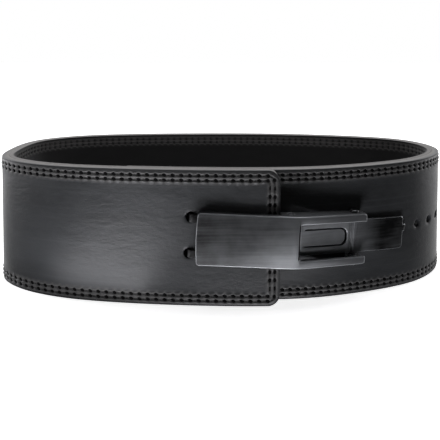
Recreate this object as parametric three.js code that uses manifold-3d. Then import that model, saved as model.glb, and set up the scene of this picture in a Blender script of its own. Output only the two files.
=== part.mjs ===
// Lever powerlifting belt, fastened and standing on its lower edge. Millimetres, +Z up, front towards -Y.
// One strip of two leather plies runs once round the waist and laps over its own inner end at the front.
// A steel lever buckle is screwed to the inner end, and its link hooks into two holes of the outer end.

import * as THREE from 'three';
import { mergeVertices } from 'three/addons/utils/BufferGeometryUtils.js';
import Module from 'manifold-3d';

const wasm = await Module();
wasm.setup();

// Leather strip
const beltWidth = 100;
const outerPlyThickness = 5.2;
const liningThickness = 4.5;
const plyGap = 0.3;
const beltThickness = outerPlyThickness + plyGap + liningThickness;
const endCornerRadius = 9;
const stripSteps = 190;

// Plan of the fastened belt's outer face, from the front middle round the right side
const halfWidth = 189.5;
const halfDepth = 85.5;
const planRows = [
  { side: -0.06, depth: -1 },
  { side: 0.409, depth: -0.941 },
  { side: 0.818, depth: -0.575 },
  { side: 0.996, depth: 0.004 },
  { side: 0.88, depth: 0.589 },
  { side: 0.46, depth: 0.911 },
  { side: -0.055, depth: 1.006 },
  { side: -0.655, depth: 0.902 },
  { side: -0.942, depth: 0.562 },
  { side: -1.002, depth: -0.008 },
  { side: -0.935, depth: -0.522 },
  { side: -0.632, depth: -0.858 },
];

// Lap at the front. Places along the belt are measured on the outer face, from the front middle to the right
const flapEndAlong = 49;
const lapLength = 125;
const lapGap = 0.5;
const innerEndDrop = 2;
const turnStartShare = 0.1;
const turnEndShare = 0.34;

// Row of single holes in the inner end
const rowHoleRadius = 3.3;
const rowHolePitch = 18.3;
const firstFreeHoleAlong = 176.4;
const freeHoleCount = 3;
const rowHoleHeight = 47;

// Buckle as a whole
const buckleMidHeight = 49;
const buckleRoll = 2.9;
const steelThickness = 2.3;
const runningGap = 0.3;
const seatGap = 0.3;

// Lever
const leverWidth = 38;
const leverTipAlong = -14;
const leverRootAlong = 62;
const armEndAlong = 116;
const tipStandoff = 8.7;
const rootStandoff = 7;
const armStandoff = 10.6;
const rootBendLength = 9;
const flangeDepth = 12.5;
const flangeClearance = 0.8;
const tipLipDepth = 4.5;
const tipBow = 0.9;
const leverCornerRadius = 3;
const forkGap = 26;
const forkCornerRadius = 2;

// Base plate
const plateWidth = 25;
const plateTangentAlong = 122;
const plateEndToTab = 2.6;
const plateSeatGap = 0.6;
const plateReachPastRoot = 1;
const plateCornerRadius = 1.5;
const tongueSlotWidth = 13.8;
const tongueSlotEndAlong = 104;
const tongueSlotCornerRadius = 5.5;
const tongueSideGap = 1.1;
const tongueEndGap = 2;
const earHalfLength = 5;
const earHeight = 5.2;
const tabWidth = 5.2;
const tabDepth = 4.5;
const tabBendRadius = 2.7;

// Pivot rivets between lever and base plate
const pivotAlong = 108;
const pivotStandoff = 5;
const rivetRadius = 2;
const rivetHeadRadius = 3.4;
const rivetHeadHeight = 1.6;
const rivetTailRadius = 2.9;
const rivetTailHeight = 0.6;

// Dome of a rivet's or a screw's head, as shares of its radius and height
const domeRows = [
  { radius: 1, height: 0.4 },
  { radius: 0.8, height: 0.85 },
  { radius: 0.4, height: 1 },
  { radius: 0, height: 1 },
];

// Hook link and its pin
const linkSideGap = 0.7;
const linkWidth = leverWidth - 2 * (steelThickness + linkSideGap);
const linkGap = 0.5;
const linkPinPastFlap = 7;
const linkPinRadius = 2.2;
const knuckleRadius = 4.3;
const hookFromFlapEnd = 66;
const hookWidth = 6;
const hookSpacing = linkWidth - hookWidth;
const hookDepth = 7;
const hookBendRadius = 3;
const hookArmLength = 9;
const hookHoleRadius = 3.75;

// Mounting screws, put in from the inside of the belt
const screwShankRadius = 2.8;
const screwHeadRadius = 6.5;
const screwHeadHeight = 1.8;
const screwHeadGap = 0.5;

// Smoothness of round stretches and of the lines that follow the belt
const circleSides = 20;
const cornerSteps = 6;
const followSteps = 16;

// How far a cutter runs past what it cuts, and how far it runs to pass through everything
const cutMargin = 1;
const cutReach = 80;

const leather = { color: 0x232225, roughness: 0.55, metalness: 0 };
const lining = { color: 0x1a191a, roughness: 0.9, metalness: 0 };
const steel = { color: 0x2a2a2e, roughness: 0.4, metalness: 0.7 };

function places(from, to, count) {
  return Array.from({ length: count + 1 }, (unused, index) => from + ((to - from) * index) / count);
}

// Plan curve and the places along it
const planPoints = planRows.map((row) => new THREE.Vector3(row.side * halfWidth, row.depth * halfDepth, 0));
const planCurve = new THREE.CatmullRomCurve3(planPoints, true, 'catmullrom', 0.5);
planCurve.arcLengthDivisions = 1200;
const planLength = planCurve.getLength();

function planFrame(along) {
  const share = THREE.MathUtils.euclideanModulo(along / planLength, 1);
  const point = planCurve.getPointAt(share);
  const tangent = planCurve.getTangentAt(share);
  const inward = new THREE.Vector3(-tangent.y, tangent.x, 0);
  return { point, tangent, inward };
}

function facePoint(along, inset) {
  const { point, inward } = planFrame(along);
  return point.addScaledVector(inward, inset);
}

function lapShare(along) {
  return 1 - THREE.MathUtils.smoothstep(along / planLength, turnStartShare, turnEndShare);
}

function turnInset(along) {
  return (beltThickness + lapGap) * lapShare(along);
}

function topHeight(along) {
  return beltWidth - innerEndDrop * lapShare(along);
}

// A frame on the strip's outer face: x along the belt, y inwards, z up
function beltMatrix(along) {
  const point = facePoint(along, turnInset(along));
  const ahead = facePoint(along + cutMargin, turnInset(along + cutMargin));
  const behind = facePoint(along - cutMargin, turnInset(along - cutMargin));
  const tangent = ahead.sub(behind).normalize();
  const inward = new THREE.Vector3(-tangent.y, tangent.x, 0);
  return new THREE.Matrix4().makeBasis(tangent, inward, new THREE.Vector3(0, 0, 1)).setPosition(point);
}

// Closed solids for cutting and joining
function solidOf(geometry) {
  const bare = geometry.clone();
  bare.deleteAttribute('normal');
  bare.deleteAttribute('uv');
  const merged = mergeVertices(bare, 1e-4);
  const vertProperties = new Float32Array(merged.attributes.position.array);
  const triVerts = new Uint32Array(merged.index.array);
  return new wasm.Manifold(new wasm.Mesh({ numProp: 3, vertProperties, triVerts }));
}

function joined(solids) {
  return solids.reduce((sum, next) => sum.add(next));
}

function meshOf(solid, name, finish) {
  const { vertProperties, triVerts } = solid.getMesh();
  const geometry = new THREE.BufferGeometry();
  geometry.setAttribute('position', new THREE.BufferAttribute(new Float32Array(vertProperties), 3));
  geometry.setIndex(new THREE.BufferAttribute(new Uint32Array(triVerts), 1));
  geometry.computeVertexNormals();
  const mesh = new THREE.Mesh(geometry, new THREE.MeshStandardMaterial(finish));
  mesh.name = name;
  return mesh;
}

const plainExtrude = { bevelEnabled: false, curveSegments: cornerSteps };

// A plan outline raised from one height to another
function raised(shape, low, high) {
  const geometry = new THREE.ExtrudeGeometry(shape, { ...plainExtrude, depth: high - low });
  geometry.translate(0, 0, low);
  return geometry;
}

// A front outline, drawn as x and height, pushed through from one depth to another
function pushed(shape, front, back) {
  const geometry = new THREE.ExtrudeGeometry(shape, { ...plainExtrude, depth: back - front });
  geometry.rotateX(Math.PI / 2);
  geometry.translate(0, back, 0);
  return geometry;
}

function uprightPin(x, y, radius, low, high) {
  const geometry = new THREE.CylinderGeometry(radius, radius, high - low, circleSides);
  geometry.rotateX(Math.PI / 2);
  geometry.translate(x, y, (low + high) / 2);
  return geometry;
}

// The outline of a bent sheet: a line and the same line shifted to its left
function bandShape(line, from, to) {
  const shifted = (distance) => line.map((point, index) => {
    const before = line[Math.max(index - 1, 0)];
    const after = line[Math.min(index + 1, line.length - 1)];
    const direction = new THREE.Vector2().subVectors(after, before).normalize();
    return new THREE.Vector2(point.x - direction.y * distance, point.y + direction.x * distance);
  });
  return new THREE.Shape([...shifted(from), ...shifted(to).reverse()]);
}

// Arc points of a square bend whose outer corner is given
function roundedCorner(before, corner, after, radius) {
  const arriving = corner.clone().sub(before).normalize();
  const leaving = after.clone().sub(corner).normalize();
  const centre = corner.clone().addScaledVector(arriving, -radius).addScaledVector(leaving, radius);
  return places(0, Math.PI / 2, cornerSteps).map((angle) => centre.clone()
    .addScaledVector(leaving, -radius * Math.cos(angle))
    .addScaledVector(arriving, radius * Math.sin(angle)));
}

function roundedBox(left, right, low, high, radius) {
  const shape = new THREE.Shape();
  shape.moveTo(left + radius, low);
  shape.lineTo(right - radius, low);
  shape.absarc(right - radius, low + radius, radius, -Math.PI / 2, 0);
  shape.lineTo(right, high - radius);
  shape.absarc(right - radius, high - radius, radius, 0, Math.PI / 2);
  shape.lineTo(left + radius, high);
  shape.absarc(left + radius, high - radius, radius, Math.PI / 2, Math.PI);
  shape.lineTo(left, low + radius);
  shape.absarc(left + radius, low + radius, radius, Math.PI, Math.PI * 1.5);
  return shape;
}

// Buckle frame: x to the right and y inwards from the flap's end on its outer face, z up the buckle's width
const buckle = new THREE.Group();
buckle.name = 'buckle_frame';
buckle.position.copy(facePoint(flapEndAlong, 0)).setZ(buckleMidHeight);
buckle.rotation.y = THREE.MathUtils.degToRad(buckleRoll);
buckle.updateMatrix();
const intoBuckle = buckle.matrix.clone().invert();

function onFlap(along, standoff) {
  const point = facePoint(along, -standoff).sub(buckle.position);
  return new THREE.Vector2(point.x, point.y);
}

function onInnerEnd(along, standoff) {
  return onFlap(along, standoff - turnInset(along));
}

// Places of the single holes along the belt, and of the plate's end next to the hole that its tab sits in
const lastFreeHoleAlong = firstFreeHoleAlong + (freeHoleCount - 1) * rowHolePitch;
const freeHoles = places(firstFreeHoleAlong, lastFreeHoleAlong, freeHoleCount - 1);
const tabHoleAlong = firstFreeHoleAlong - rowHolePitch;
const screwHoles = [tabHoleAlong - rowHolePitch, tabHoleAlong - 2 * rowHolePitch];
const plateEndAlong = tabHoleAlong - plateEndToTab;

// The leather strip, bent from a straight bar
function bentPly(depth, thickness) {
  const geometry = new THREE.BoxGeometry(1, 1, 1, stripSteps, 1, 1);
  const position = geometry.attributes.position;
  const start = flapEndAlong - lapLength;
  const end = planLength + flapEndAlong;
  for (let index = 0; index < position.count; index += 1) {
    const along = THREE.MathUtils.lerp(start, end, position.getX(index) + 0.5);
    const inset = turnInset(along) + depth + (position.getY(index) + 0.5) * thickness;
    const height = (position.getZ(index) + 0.5) * topHeight(along);
    const point = facePoint(along, inset);
    position.setXYZ(index, point.x, point.y, height);
  }
  return solidOf(geometry);
}

function cornerWaste(along, isFlap, isTop) {
  const radius = endCornerRadius;
  const out = isFlap ? 1 : -1;
  const up = isTop ? 1 : -1;
  const edge = isTop ? topHeight(along) : 0;
  const shape = new THREE.Shape();
  shape.moveTo(-out * radius, edge + up * cutMargin);
  shape.lineTo(-out * radius, edge);
  for (const angle of places(0, Math.PI / 2, cornerSteps).slice(1)) {
    shape.lineTo(-out * radius * (1 - Math.sin(angle)), edge - up * radius * (1 - Math.cos(angle)));
  }
  shape.lineTo(out * cutMargin, edge - up * radius);
  shape.lineTo(out * cutMargin, edge + up * cutMargin);
  const front = isFlap ? -cutMargin : -lapGap / 2;
  const back = isFlap ? beltThickness + lapGap / 2 : beltThickness + cutMargin;
  return solidOf(pushed(shape, front, back).applyMatrix4(beltMatrix(along)));
}

function beltHole(along, height, radius, back) {
  const length = back + cutMargin;
  const geometry = new THREE.CylinderGeometry(radius, radius, length, circleSides);
  geometry.translate(0, length / 2 - cutMargin, height);
  return solidOf(geometry.applyMatrix4(beltMatrix(along)));
}

function hookHoles() {
  return [-1, 1].map((side) => {
    const place = new THREE.Vector3(-hookFromFlapEnd, 0, (side * hookSpacing) / 2);
    place.applyMatrix4(buckle.matrix);
    const along = planLength + flapEndAlong + place.x - buckle.position.x;
    return beltHole(along, place.z, hookHoleRadius, beltThickness + lapGap / 2);
  });
}

function beltWaste() {
  const innerEnd = flapEndAlong - lapLength;
  const corners = [true, false].flatMap((isTop) => [
    cornerWaste(flapEndAlong + planLength, true, isTop),
    cornerWaste(innerEnd, false, isTop),
  ]);
  const row = [...freeHoles, tabHoleAlong, ...screwHoles].map((along) =>
    beltHole(along, rowHoleHeight, rowHoleRadius, beltThickness + cutMargin));
  return joined([...corners, ...row, ...hookHoles()]);
}

// What the buckle keeps clear of: the flap and the inner end, grown by a clearance
function beltKeepOut(clearance) {
  const start = leverTipAlong - cutReach;
  const finish = plateEndAlong + cutReach;
  const flapSide = places(start, flapEndAlong, 3 * followSteps).map((along) => onFlap(along, clearance));
  const flapEnd = onFlap(flapEndAlong + clearance, clearance);
  const step = onInnerEnd(flapEndAlong + clearance, clearance);
  const innerSide = places(flapEndAlong + clearance, finish, 3 * followSteps)
    .slice(1)
    .map((along) => onInnerEnd(along, clearance));
  const last = onInnerEnd(finish, -beltThickness);
  const first = onFlap(start, -beltThickness);
  const shape = new THREE.Shape([...flapSide, flapEnd, step, ...innerSide, last, first]);
  const geometry = raised(shape, -beltWidth, beltWidth);
  geometry.translate(buckle.position.x, buckle.position.y, buckle.position.z);
  return solidOf(geometry.applyMatrix4(intoBuckle));
}

// Lever: a folded sheet with a lip at its tip, side flanges and a fork
function leverLine() {
  const tip = onFlap(leverTipAlong, tipStandoff);
  const root = onFlap(leverRootAlong, rootStandoff);
  const end = onInnerEnd(armEndAlong, armStandoff);
  const before = root.clone().add(tip.clone().sub(root).setLength(rootBendLength));
  const after = root.clone().add(end.clone().sub(root).setLength(rootBendLength));
  return [tip, ...new THREE.QuadraticBezierCurve(before, root, after).getPoints(cornerSteps), end];
}

function leverOutline(tipX, endX) {
  const half = leverWidth / 2;
  const radius = leverCornerRadius;
  const cornerX = tipX + tipBow;
  const shape = new THREE.Shape();
  shape.moveTo(cornerX + radius, -half);
  shape.lineTo(endX - radius, -half);
  shape.quadraticCurveTo(endX, -half, endX, -half + radius);
  shape.lineTo(endX, half - radius);
  shape.quadraticCurveTo(endX, half, endX - radius, half);
  shape.lineTo(cornerX + radius, half);
  shape.quadraticCurveTo(cornerX, half, cornerX, half - radius);
  shape.quadraticCurveTo(tipX - tipBow, 0, cornerX, -half + radius);
  shape.quadraticCurveTo(cornerX, -half, cornerX + radius, -half);
  return shape;
}

function makeLever() {
  const line = leverLine();
  const half = leverWidth / 2;
  const tip = line[0];
  const end = line.at(-1);
  const handle = line[1].clone().sub(tip);
  const lipBack = tip.clone().add(handle.clone().setLength(steelThickness + tipBow));
  const beforeTip = tip.clone().sub(handle.clone().setLength(cutMargin));
  const pastEnd = end.clone().add(end.clone().sub(line.at(-2)).setLength(cutMargin));
  const inside = bandShape([lipBack, ...line.slice(1, -1), pastEnd], steelThickness, flangeDepth + cutMargin);
  const underLip = bandShape([beforeTip, lipBack.add(handle.setLength(cutMargin))], tipLipDepth,
    flangeDepth + cutMargin);
  const channel = solidOf(raised(bandShape(line, 0, flangeDepth), -half, half));
  const hollow = joined([inside, underLip].map((shape) =>
    solidOf(raised(shape, -half + steelThickness, half - steelThickness))));
  const outline = solidOf(pushed(leverOutline(tip.x, end.x), -cutReach, cutReach));
  const root = onFlap(leverRootAlong, rootStandoff);
  const forkEnd = end.x + forkGap;
  const forkBox = roundedBox(root.x, forkEnd, -forkGap / 2, forkGap / 2, forkCornerRadius);
  const pivot = onInnerEnd(pivotAlong, pivotStandoff);
  const pin = linkPinPlace();
  const bores = joined([
    solidOf(uprightPin(pivot.x, pivot.y, rivetRadius + runningGap, -cutReach, cutReach)),
    solidOf(uprightPin(pin.x, pin.y, linkPinRadius + runningGap, -cutReach, cutReach)),
  ]);
  return channel
    .subtract(hollow)
    .intersect(outline)
    .subtract(solidOf(pushed(forkBox, -cutReach, cutReach)))
    .subtract(bores)
    .subtract(beltKeepOut(flangeClearance));
}

// Base plate: straight under the fork, bent to the belt past it, with two ears and a tab in a belt hole
const plateLevel = plateSeatGap + steelThickness;

function plateLine() {
  const seated = places(plateTangentAlong, plateEndAlong - tabBendRadius, cornerSteps)
    .map((along) => onInnerEnd(along, plateLevel));
  const direction = onInnerEnd(plateTangentAlong + cutMargin, plateLevel).sub(seated[0]).normalize();
  const left = onFlap(leverRootAlong, 0).x - plateReachPastRoot;
  const reach = (seated[0].x - left) / direction.x;
  const tabFace = tabHoleAlong + steelThickness / 2;
  const corner = onInnerEnd(tabFace, plateLevel);
  const foot = onInnerEnd(tabFace, -tabDepth);
  const bend = roundedCorner(seated.at(-1), corner, foot, tabBendRadius);
  return [seated[0].clone().addScaledVector(direction, -reach), ...seated, ...bend, foot];
}

function plateLineAt(x) {
  const line = plateLine();
  const next = line.findIndex((point) => point.x > x);
  const share = (x - line[next - 1].x) / (line[next].x - line[next - 1].x);
  return line[next - 1].clone().lerp(line[next], share);
}

// The plate's front outline: a strip with a side bridge to each ear
function plateOutline(left, right, pivotX, earOuter) {
  const half = plateWidth / 2;
  const corner = plateCornerRadius;
  const bridgeLeft = pivotX - earHalfLength;
  const bridgeRight = pivotX + earHalfLength;
  return new THREE.Shape([
    [left + corner, -half],
    [bridgeLeft, -half],
    [bridgeLeft, -earOuter],
    [bridgeRight, -earOuter],
    [bridgeRight, -half],
    [right - corner, -half],
    [right, -half + corner],
    [right, half - corner],
    [right - corner, half],
    [bridgeRight, half],
    [bridgeRight, earOuter],
    [bridgeLeft, earOuter],
    [bridgeLeft, half],
    [left + corner, half],
    [left, half - corner],
    [left, -half + corner],
  ].map(([x, height]) => new THREE.Vector2(x, height)));
}

function makeBasePlate() {
  const line = plateLine();
  const pivot = onInnerEnd(pivotAlong, pivotStandoff);
  const earOuter = leverWidth / 2 - steelThickness - runningGap;
  const earInner = earOuter - steelThickness;
  const plateRight = onInnerEnd(plateEndAlong, plateLevel).x;
  const tabMiddle = facePoint(tabHoleAlong, 0).setZ(rowHoleHeight).applyMatrix4(intoBuckle).z;
  const plateBack = onInnerEnd(plateEndAlong, plateSeatGap / 2).y;
  const plateShape = plateOutline(line[0].x, plateRight, pivot.x, earOuter);
  const outline = solidOf(pushed(plateShape, -cutReach, plateBack));
  const tabColumn = new THREE.Shape([
    new THREE.Vector2(pivot.x + earHalfLength + cutMargin, tabMiddle - tabWidth / 2),
    new THREE.Vector2(plateRight + cutReach, tabMiddle - tabWidth / 2),
    new THREE.Vector2(plateRight + cutReach, tabMiddle + tabWidth / 2),
    new THREE.Vector2(pivot.x + earHalfLength + cutMargin, tabMiddle + tabWidth / 2),
  ]);
  const strip = solidOf(raised(bandShape(line, 0, steelThickness), -earOuter, earOuter))
    .intersect(outline.add(solidOf(pushed(tabColumn, -2 * cutReach, 2 * cutReach))));
  const earReach = earHalfLength - seatGap;
  const earLine = [plateLineAt(pivot.x - earReach), plateLineAt(pivot.x + earReach)];
  const earBand = bandShape(earLine, -earHeight, steelThickness / 2);
  const ears = [solidOf(raised(earBand, earInner, earOuter)), solidOf(raised(earBand, -earOuter, -earInner))];
  const slotLeft = line[0].x + plateCornerRadius + tongueEndGap;
  const slotRight = onInnerEnd(tongueSlotEndAlong, plateLevel).x;
  const slotHalf = tongueSlotWidth / 2;
  const tongueHalf = slotHalf - tongueSideGap;
  const slotBox = roundedBox(slotLeft, slotRight, -slotHalf, slotHalf, tongueSlotCornerRadius);
  const tongueBox = roundedBox(slotLeft - cutReach, slotRight - tongueEndGap, -tongueHalf, tongueHalf,
    tongueSlotCornerRadius - tongueSideGap);
  const slot = solidOf(pushed(slotBox, -cutReach, cutReach))
    .subtract(solidOf(pushed(tongueBox, -2 * cutReach, 2 * cutReach)));
  const bore = solidOf(uprightPin(pivot.x, pivot.y, rivetRadius + runningGap, -cutReach, cutReach));
  const tailRadius = rivetTailRadius + runningGap;
  const tailLow = earInner - rivetTailHeight - 2 * runningGap;
  const tailHigh = earInner - runningGap / 2;
  const tailRooms = [
    solidOf(uprightPin(pivot.x, pivot.y, tailRadius, tailLow, tailHigh)),
    solidOf(uprightPin(pivot.x, pivot.y, tailRadius, -tailHigh, -tailLow)),
  ];
  return joined([strip, ...ears])
    .subtract(slot)
    .subtract(joined([bore, ...tailRooms]));
}

function makeRivet(side) {
  const pivot = onInnerEnd(pivotAlong, pivotStandoff);
  const outside = leverWidth / 2 + runningGap;
  const inside = leverWidth / 2 - 2 * steelThickness - 2 * runningGap;
  const profile = [
    [0, inside - rivetTailHeight],
    [rivetTailRadius, inside - rivetTailHeight],
    [rivetTailRadius, inside],
    [rivetRadius, inside],
    [rivetRadius, outside],
    [rivetHeadRadius, outside],
    ...domeRows.map((row) => [row.radius * rivetHeadRadius, outside + row.height * rivetHeadHeight]),
  ].map(([radius, height]) => new THREE.Vector2(radius, height));
  const geometry = new THREE.LatheGeometry(profile, circleSides);
  geometry.rotateX((side * Math.PI) / 2);
  geometry.translate(pivot.x, pivot.y, 0);
  return solidOf(geometry);
}

// Hook link: a bent sheet over the flap, curled round its pin and ending in two hooks
function linkPinPlace() {
  const level = linkGap + steelThickness;
  return onFlap(flapEndAlong + linkPinPastFlap, level - knuckleRadius);
}

// The link's front outline: a plate whose left end runs out in two hook arms
function linkOutline(left, armRoot, right) {
  const half = linkWidth / 2;
  const hookLow = (hookSpacing - hookWidth) / 2;
  const hookHigh = (hookSpacing + hookWidth) / 2;
  return new THREE.Shape([
    [left, hookLow],
    [armRoot - hookWidth / 2, hookLow],
    [armRoot, hookLow - hookWidth / 2],
    [armRoot, -hookLow + hookWidth / 2],
    [armRoot - hookWidth / 2, -hookLow],
    [left, -hookLow],
    [left, -hookHigh],
    [armRoot, -half],
    [right, -half],
    [right, half],
    [armRoot, half],
    [left, hookHigh],
  ].map(([x, height]) => new THREE.Vector2(x, height)));
}

function makeHookLink() {
  const level = linkGap + steelThickness;
  const hookAlong = flapEndAlong - hookFromFlapEnd;
  const hookFace = hookAlong - steelThickness / 2;
  const foot = onFlap(hookFace, -hookDepth);
  const crown = onFlap(hookFace, level);
  const run = places(hookFace + hookBendRadius + cutMargin, flapEndAlong, followSteps)
    .map((along) => onFlap(along, level));
  const pin = linkPinPlace();
  const overPin = new THREE.Vector2(pin.x, pin.y - knuckleRadius + seatGap);
  const line = [foot, ...roundedCorner(foot, crown, run[0], hookBendRadius), ...run, overPin];
  const half = linkWidth / 2;
  const outline = linkOutline(foot.x - hookWidth, foot.x + hookArmLength, pin.x + knuckleRadius);
  const sheet = solidOf(raised(bandShape(line, 0, steelThickness), -half, half))
    .intersect(solidOf(pushed(outline, -cutReach, cutReach)));
  const knuckle = solidOf(uprightPin(pin.x, pin.y, knuckleRadius, -half, half));
  const bore = solidOf(uprightPin(pin.x, pin.y, linkPinRadius + runningGap, -cutReach, cutReach));
  return sheet.add(knuckle).subtract(bore);
}

function makeLinkPin() {
  const pin = linkPinPlace();
  return solidOf(uprightPin(pin.x, pin.y, linkPinRadius, -leverWidth / 2, leverWidth / 2));
}

function makeScrew(along) {
  const headStart = beltThickness + screwHeadGap;
  const profile = [
    [0, -seatGap],
    [screwShankRadius, -seatGap],
    [screwShankRadius, headStart],
    [screwHeadRadius, headStart],
    ...domeRows.map((row) => [row.radius * screwHeadRadius, headStart + row.height * screwHeadHeight]),
  ].map(([radius, height]) => new THREE.Vector2(radius, height));
  const geometry = new THREE.LatheGeometry(profile, circleSides);
  geometry.translate(0, 0, rowHoleHeight);
  return solidOf(geometry.applyMatrix4(beltMatrix(along)));
}

// Assembly
const belt = new THREE.Group();
const waste = beltWaste();
belt.add(meshOf(bentPly(0, outerPlyThickness).subtract(waste), 'outer_leather', leather));
const liningStart = outerPlyThickness + plyGap;
belt.add(meshOf(bentPly(liningStart, liningThickness).subtract(waste), 'lining_leather', lining));
screwHoles.forEach((along, index) => {
  belt.add(meshOf(makeScrew(along), `mounting_screw_${index + 1}`, steel));
});

buckle.add(meshOf(makeLever(), 'lever', steel));
buckle.add(meshOf(makeBasePlate(), 'base_plate', steel));
buckle.add(meshOf(makeHookLink(), 'hook_link', steel));
buckle.add(meshOf(makeLinkPin(), 'link_pin', steel));
buckle.add(meshOf(makeRivet(1), 'pivot_rivet_upper', steel));
buckle.add(meshOf(makeRivet(-1), 'pivot_rivet_lower', steel));
belt.add(buckle);

// The row's origin is the middle of the box's bottom
const box = new THREE.Box3().setFromObject(belt);
const middle = box.getCenter(new THREE.Vector3());
belt.position.set(-middle.x, -middle.y, -box.min.z);

export default belt;
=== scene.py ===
import math

import bmesh
import bpy
import numpy as np
from mathutils import Matrix, Vector


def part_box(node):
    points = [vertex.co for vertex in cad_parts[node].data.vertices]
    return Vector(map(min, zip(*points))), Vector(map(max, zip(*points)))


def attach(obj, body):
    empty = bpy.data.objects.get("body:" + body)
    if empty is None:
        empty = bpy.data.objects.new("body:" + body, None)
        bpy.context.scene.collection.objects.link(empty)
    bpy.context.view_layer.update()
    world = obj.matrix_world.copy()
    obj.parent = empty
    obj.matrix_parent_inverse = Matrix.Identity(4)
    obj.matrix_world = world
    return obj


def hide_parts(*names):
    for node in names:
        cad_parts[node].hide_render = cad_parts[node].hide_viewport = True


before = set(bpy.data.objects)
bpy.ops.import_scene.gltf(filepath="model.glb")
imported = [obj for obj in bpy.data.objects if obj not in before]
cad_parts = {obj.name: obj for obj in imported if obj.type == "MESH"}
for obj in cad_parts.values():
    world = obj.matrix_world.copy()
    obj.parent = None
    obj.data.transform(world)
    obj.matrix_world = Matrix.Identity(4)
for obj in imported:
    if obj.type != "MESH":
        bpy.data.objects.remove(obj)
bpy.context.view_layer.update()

MM = 0.001

# Leather strip
BELT_WIDTH = 100 * MM
BELT_THICKNESS = 10 * MM
OUTER_PLY = 5.2 * MM
CAD_PLY_GAP = 0.3 * MM
PLY_SEAM = 0.16 * MM
END_CORNER = 9 * MM
EDGE_ROUND = 0.5 * MM

# Plan of the outer face, from the front middle round the right side, as shares of the half sizes
HALF_WIDTH = 189.5 * MM
HALF_DEPTH = 85.5 * MM
PLAN_ROWS = (
    # side, depth
    (-0.06, -1.0),
    (0.409, -0.941),
    (0.818, -0.575),
    (0.996, 0.004),
    (0.88, 0.589),
    (0.46, 0.911),
    (-0.055, 1.006),
    (-0.655, 0.902),
    (-0.942, 0.562),
    (-1.002, -0.008),
    (-0.935, -0.522),
    (-0.632, -0.858),
)

# Lap, with places measured along the outer face from the front middle to the right
FLAP_END = 49 * MM
LAP_LENGTH = 125 * MM
LAP_GAP = 0.5 * MM
INNER_END_DROP = 2 * MM
TURN_START = 0.1
TURN_END = 0.34

# Holes
ROW_HOLE_RADIUS = 3.3 * MM
ROW_HOLE_PITCH = 18.3 * MM
ROW_HOLE_COUNT = 6
HIDDEN_ROW_HOLES = 3
FIRST_FREE_HOLE = 176.4 * MM
ROW_HOLE_HEIGHT = 47 * MM
HOOK_HOLE_RADIUS = 3.75 * MM
HOOK_FROM_FLAP_END = 66 * MM
HOOK_SPACING = 26.8 * MM
BUCKLE_HEIGHT = 49 * MM
BUCKLE_ROLL = math.radians(2.9)
CUTTER_SPARE = 3 * MM
HOOK_CUT_PAST = 0.2 * MM
CUTTER_SIDES = 48
MOUTH_DEPTH = 0.55 * MM
MOUTH_WIDTH = 0.7 * MM

# Stitching
STITCH_PITCH = 6.3 * MM
STITCH_ROWS = (3.9 * MM, 7.5 * MM)
STITCH_CORNER = 2.0 * MM
HOLE_LEAN = math.radians(38)
THREAD_RADIUS = 0.36 * MM
THREAD_SWING = 0.55 * MM
THREAD_DIP = 0.85 * MM
THREAD_REST = 0.1 * MM
THREAD_START = 0.04
THREAD_RUN = 0.92
THREAD_FLATTENED = 0.8
PIT_LONG = 1.95 * MM
PIT_SHORT = 1.35 * MM
PIT_INSET = 0.22 * MM
PIT_DEPTH = 0.25 * MM

# Line pressed along the edge, with painted shade along it, and a lighter margin beside it
CREASE_INSET = 0.75 * MM
CREASE_DEPTH = 0.14 * MM
CREASE_WIDTH = 0.3 * MM
CREASE_SHADE_WIDTH = 0.38 * MM
MARGIN_INSET = 2.3 * MM
MARGIN_WIDTH = 1.1 * MM
MARGIN_LIGHTENING = 0.16

# Leather round each stitch: the dimple at its hole, the groove under its thread,
# the puckers beside it and the ring round the hole, with painted shade in the
# dimple and groove and a painted highlight on the puckers and ring
STITCH_REACH = 3.4 * MM
LEVEL_ROW = 0.7
DIMPLE_LONG = 1.45 * MM
DIMPLE_SHORT = 0.95 * MM
DIMPLE_DEPTH = 1.0 * MM
DIMPLE_SHADE = 1.5
DIMPLE_HALF_GAP = 1.7 * MM
GROOVE_WIDTH = 0.6 * MM
GROOVE_DEPTH = 0.3 * MM
GROOVE_SHADE = 0.85
PUCKER_OFFSET = 1.25 * MM
PUCKER_WIDTH = 0.6 * MM
PUCKER_RISE = 0.6 * MM
PUCKER_HIGHLIGHT = 0.5
RING_RADIUS = 1.9 * MM
RING_WIDTH = 0.5 * MM
RING_RISE = 0.15 * MM
RING_HIGHLIGHT = 0.3

# Slow unevenness of the strip
SLOW_WAVE = 0.07 * MM
SLOWER_WAVE = 0.06 * MM
FOLD_HEIGHT = 83 * MM
FOLD_SWAY = 1.5 * MM
FOLD_WIDTH = 0.9 * MM
FOLD_DEPTH = 0.05 * MM
CALM_MARGIN = 12 * MM

# Grid of the plies
OUTER_COLUMNS_PER_STITCH = 6
LINING_COLUMNS_PER_STITCH = 3
CORNER_COLUMNS = 18
STITCHED_BAND = 9.4 * MM
STITCHED_ROW_STEP = 0.5 * MM
BAND_LAST_ROW = 11.5 * MM
CORNER_BAND = 14 * MM
MIDDLE_START = 14.5 * MM
MIDDLE_ROWS = 15
RIM_ROWS = 4
BACK_ROWS = 3
END_BAND = 11 * MM
LONG_EDGE = 3 * MM
END_CUTS = 4
HOLE_CUTS = 6
HOLE_MARGIN = 4 * MM
SAME_ROW = 1e-7
SAME_COLUMN = 1e-9
SEAM_MERGE = 0.002 * MM
RIM_BARE_RISE = 2.4
RIM_BARE_DROP = 0.45
BATCH = 20000


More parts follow.
